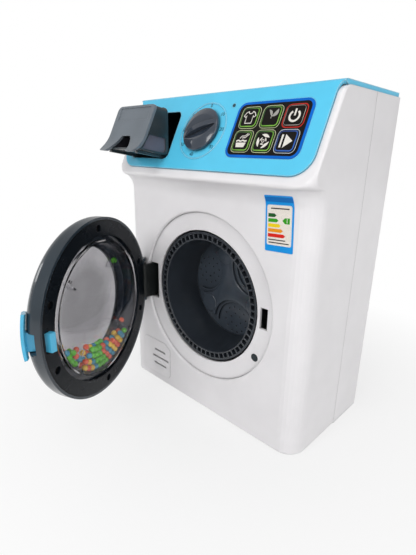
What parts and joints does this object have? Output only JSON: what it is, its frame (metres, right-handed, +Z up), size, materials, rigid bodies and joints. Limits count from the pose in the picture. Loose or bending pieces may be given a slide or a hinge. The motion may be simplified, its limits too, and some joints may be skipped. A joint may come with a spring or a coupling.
{
  "type": "toy washing machine",
  "caption": "Toy washing machine with an opening porthole door, turning drum, tumbling bead window, soap drawer, programme dial and push keys.",
  "frame": {"origin": "middle of the cabinet's flat base, half way between the plain front face and the back", "axes": "+X to the right seen from the front, +Y to the back, +Z up"},
  "size_m": [0.214, 0.2685, 0.2845],
  "materials": {
    "white_shell": "glossy moulded white",
    "blue_panel": "glossy light blue",
    "slate_plastic": "glossy slate grey",
    "drum_plastic": "charcoal, soft gloss",
    "drawer_plastic": "mid grey, soft gloss",
    "knob_plastic": "glossy dark grey",
    "clear_plastic": "clear moulded plastic",
    "bead_green": "glossy bead",
    "bead_coral": "glossy bead",
    "bead_yellow": "glossy bead",
    "bead_blue": "glossy bead",
    "key_black": "glossy black with printed symbols",
    "overlay_blue": "printed overlay",
    "label_print": "glossy printed label",
    "steel": "zinc plated",
    "inner_plastic": "plain moulded",
    "black_plastic": "plain black moulded",
    "dark_steel": "blackened",
    "silicone": "soft silicone",
    "board": "green resist",
    "brass_parts": "plain",
    "cell_wrap": "plain wrapped cell"
  },
  "bodies": {
    "cabinet": {"front_shell": "white_shell", "rear_shell": "white_shell", "control_panel": "blue_panel", "door_ring": "white_shell", "hinge_bracket": "slate_plastic", "hinge_screws": "steel", "drawer_sleeve": "black_plastic", "dial_switch": "black_plastic", "key_overlay": "overlay_blue", "key_mat": "silicone", "circuit_board": "board", "board_screws": "steel", "lamp_lens": "clear_plastic", "speaker": "black_plastic", "plunger_spring": "steel", "door_switch": "black_plastic", "drum_bearing": "brass_parts", "tub_bulkhead": "inner_plastic", "bulkhead_screws": "steel", "motor": "steel", "motor_bracket": "inner_plastic", "battery_box": "black_plastic", "battery_cells": "cell_wrap", "battery_contacts": "steel", "battery_door": "white_shell", "battery_door_screw": "steel", "case_screws": "steel", "energy_label": "label_print"},
    "door": {"door_outer": "slate_plastic", "door_inner_ring": "slate_plastic", "window_lens": "clear_plastic", "door_screws": "dark_steel", "hinge_pin": "steel", "latch_pin": "steel", "latch_spring": "steel"},
    "bowl": {"bead_bowl": "clear_plastic", "bowl_cover": "clear_plastic", "beads_green": "bead_green", "beads_coral": "bead_coral", "beads_yellow": "bead_yellow", "beads_blue": "bead_blue"},
    "latch": {"latch_lever": "blue_panel"},
    "drawer": {"drawer_front": "drawer_plastic", "drawer_tray": "drawer_plastic"},
    "dial": {"knob": "knob_plastic", "knob_shaft": "inner_plastic"},
    "plunger": {"door_plunger": "knob_plastic"},
    "drum": {"drum_barrel": "drum_plastic", "drum_floor": "drum_plastic", "drum_shaft": "steel", "shaft_screw": "steel", "drum_gear": "inner_plastic"},
    "pinion": {"motor_pinion": "brass_parts"},
    "key_basin_cap": {"key_basin": "key_black"},
    "key_swirl_cap": {"key_swirl": "key_black"},
    "key_start_cap": {"key_start": "key_black"},
    "key_shirt_cap": {"key_shirt": "key_black"},
    "key_leaf_cap": {"key_leaf": "key_black"},
    "key_power_cap": {"key_power": "key_black"}
  },
  "joints": [
    {"name": "door_hinge", "type": "hinge", "parent": "cabinet", "child": "door", "pos_m": [-0.081, -0.0625, 0.112], "axis": [0, 0, 1], "range_deg": [-35, 64.6]},
    {"name": "bead_bowl_spin", "type": "hinge", "parent": "door", "child": "bowl", "pos_m": [-0.04066, -0.13301, 0.112], "axis": [-0.9033, -0.4289, 0], "continuous": true},
    {"name": "latch_handle", "type": "hinge", "parent": "door", "child": "latch", "pos_m": [-0.01936, -0.19651, 0.112], "axis": [0, 0, -1], "range_deg": [0, 6], "stiffness_Nm_per_rad": 0.1, "springref_deg": -11.46},
    {"name": "drawer_slide", "type": "slide", "parent": "cabinet", "child": "drawer", "axis": [0, -0.9877, 0.1564], "range_m": [-0.0293, 0.004]},
    {"name": "dial_turn", "type": "hinge", "parent": "cabinet", "child": "dial", "pos_m": [-0.0074, -0.05174, 0.25421], "axis": [0, -0.8988, 0.4384], "range_deg": [-150, 150]},
    {"name": "door_plunger_press", "type": "slide", "parent": "cabinet", "child": "plunger", "axis": [0, 1, 0], "range_m": [0, 0.002], "stiffness_N_per_m": 120, "springref_m": -0.003},
    {"name": "drum_spin", "type": "hinge", "parent": "cabinet", "child": "drum", "pos_m": [0, -0.0585, 0.112], "axis": [0, 1, 0], "continuous": true},
    {"name": "pinion_spin", "type": "hinge", "parent": "cabinet", "child": "pinion", "pos_m": [0, -0.0585, 0.072], "axis": [0, 1, 0], "continuous": true},
    {"name": "key_basin_press", "type": "slide", "parent": "cabinet", "child": "key_basin_cap", "axis": [0, 0.8988, -0.4384], "range_m": [0, 0.001], "stiffness_N_per_m": 300, "springref_m": -0.002},
    {"name": "key_swirl_press", "type": "slide", "parent": "cabinet", "child": "key_swirl_cap", "axis": [0, 0.8988, -0.4384], "range_m": [0, 0.001], "stiffness_N_per_m": 300, "springref_m": -0.002},
    {"name": "key_start_press", "type": "slide", "parent": "cabinet", "child": "key_start_cap", "axis": [0, 0.8988, -0.4384], "range_m": [0, 0.001], "stiffness_N_per_m": 300, "springref_m": -0.002},
    {"name": "key_shirt_press", "type": "slide", "parent": "cabinet", "child": "key_shirt_cap", "axis": [0, 0.8988, -0.4384], "range_m": [0, 0.001], "stiffness_N_per_m": 300, "springref_m": -0.002},
    {"name": "key_leaf_press", "type": "slide", "parent": "cabinet", "child": "key_leaf_cap", "axis": [0, 0.8988, -0.4384], "range_m": [0, 0.001], "stiffness_N_per_m": 300, "springref_m": -0.002},
    {"name": "key_power_press", "type": "slide", "parent": "cabinet", "child": "key_power_cap", "axis": [0, 0.8988, -0.4384], "range_m": [0, 0.001], "stiffness_N_per_m": 300, "springref_m": -0.002}
  ],
  "couplings": [
    {"joint": "pinion_spin", "follows": "drum_spin", "ratio": -3}
  ]
}
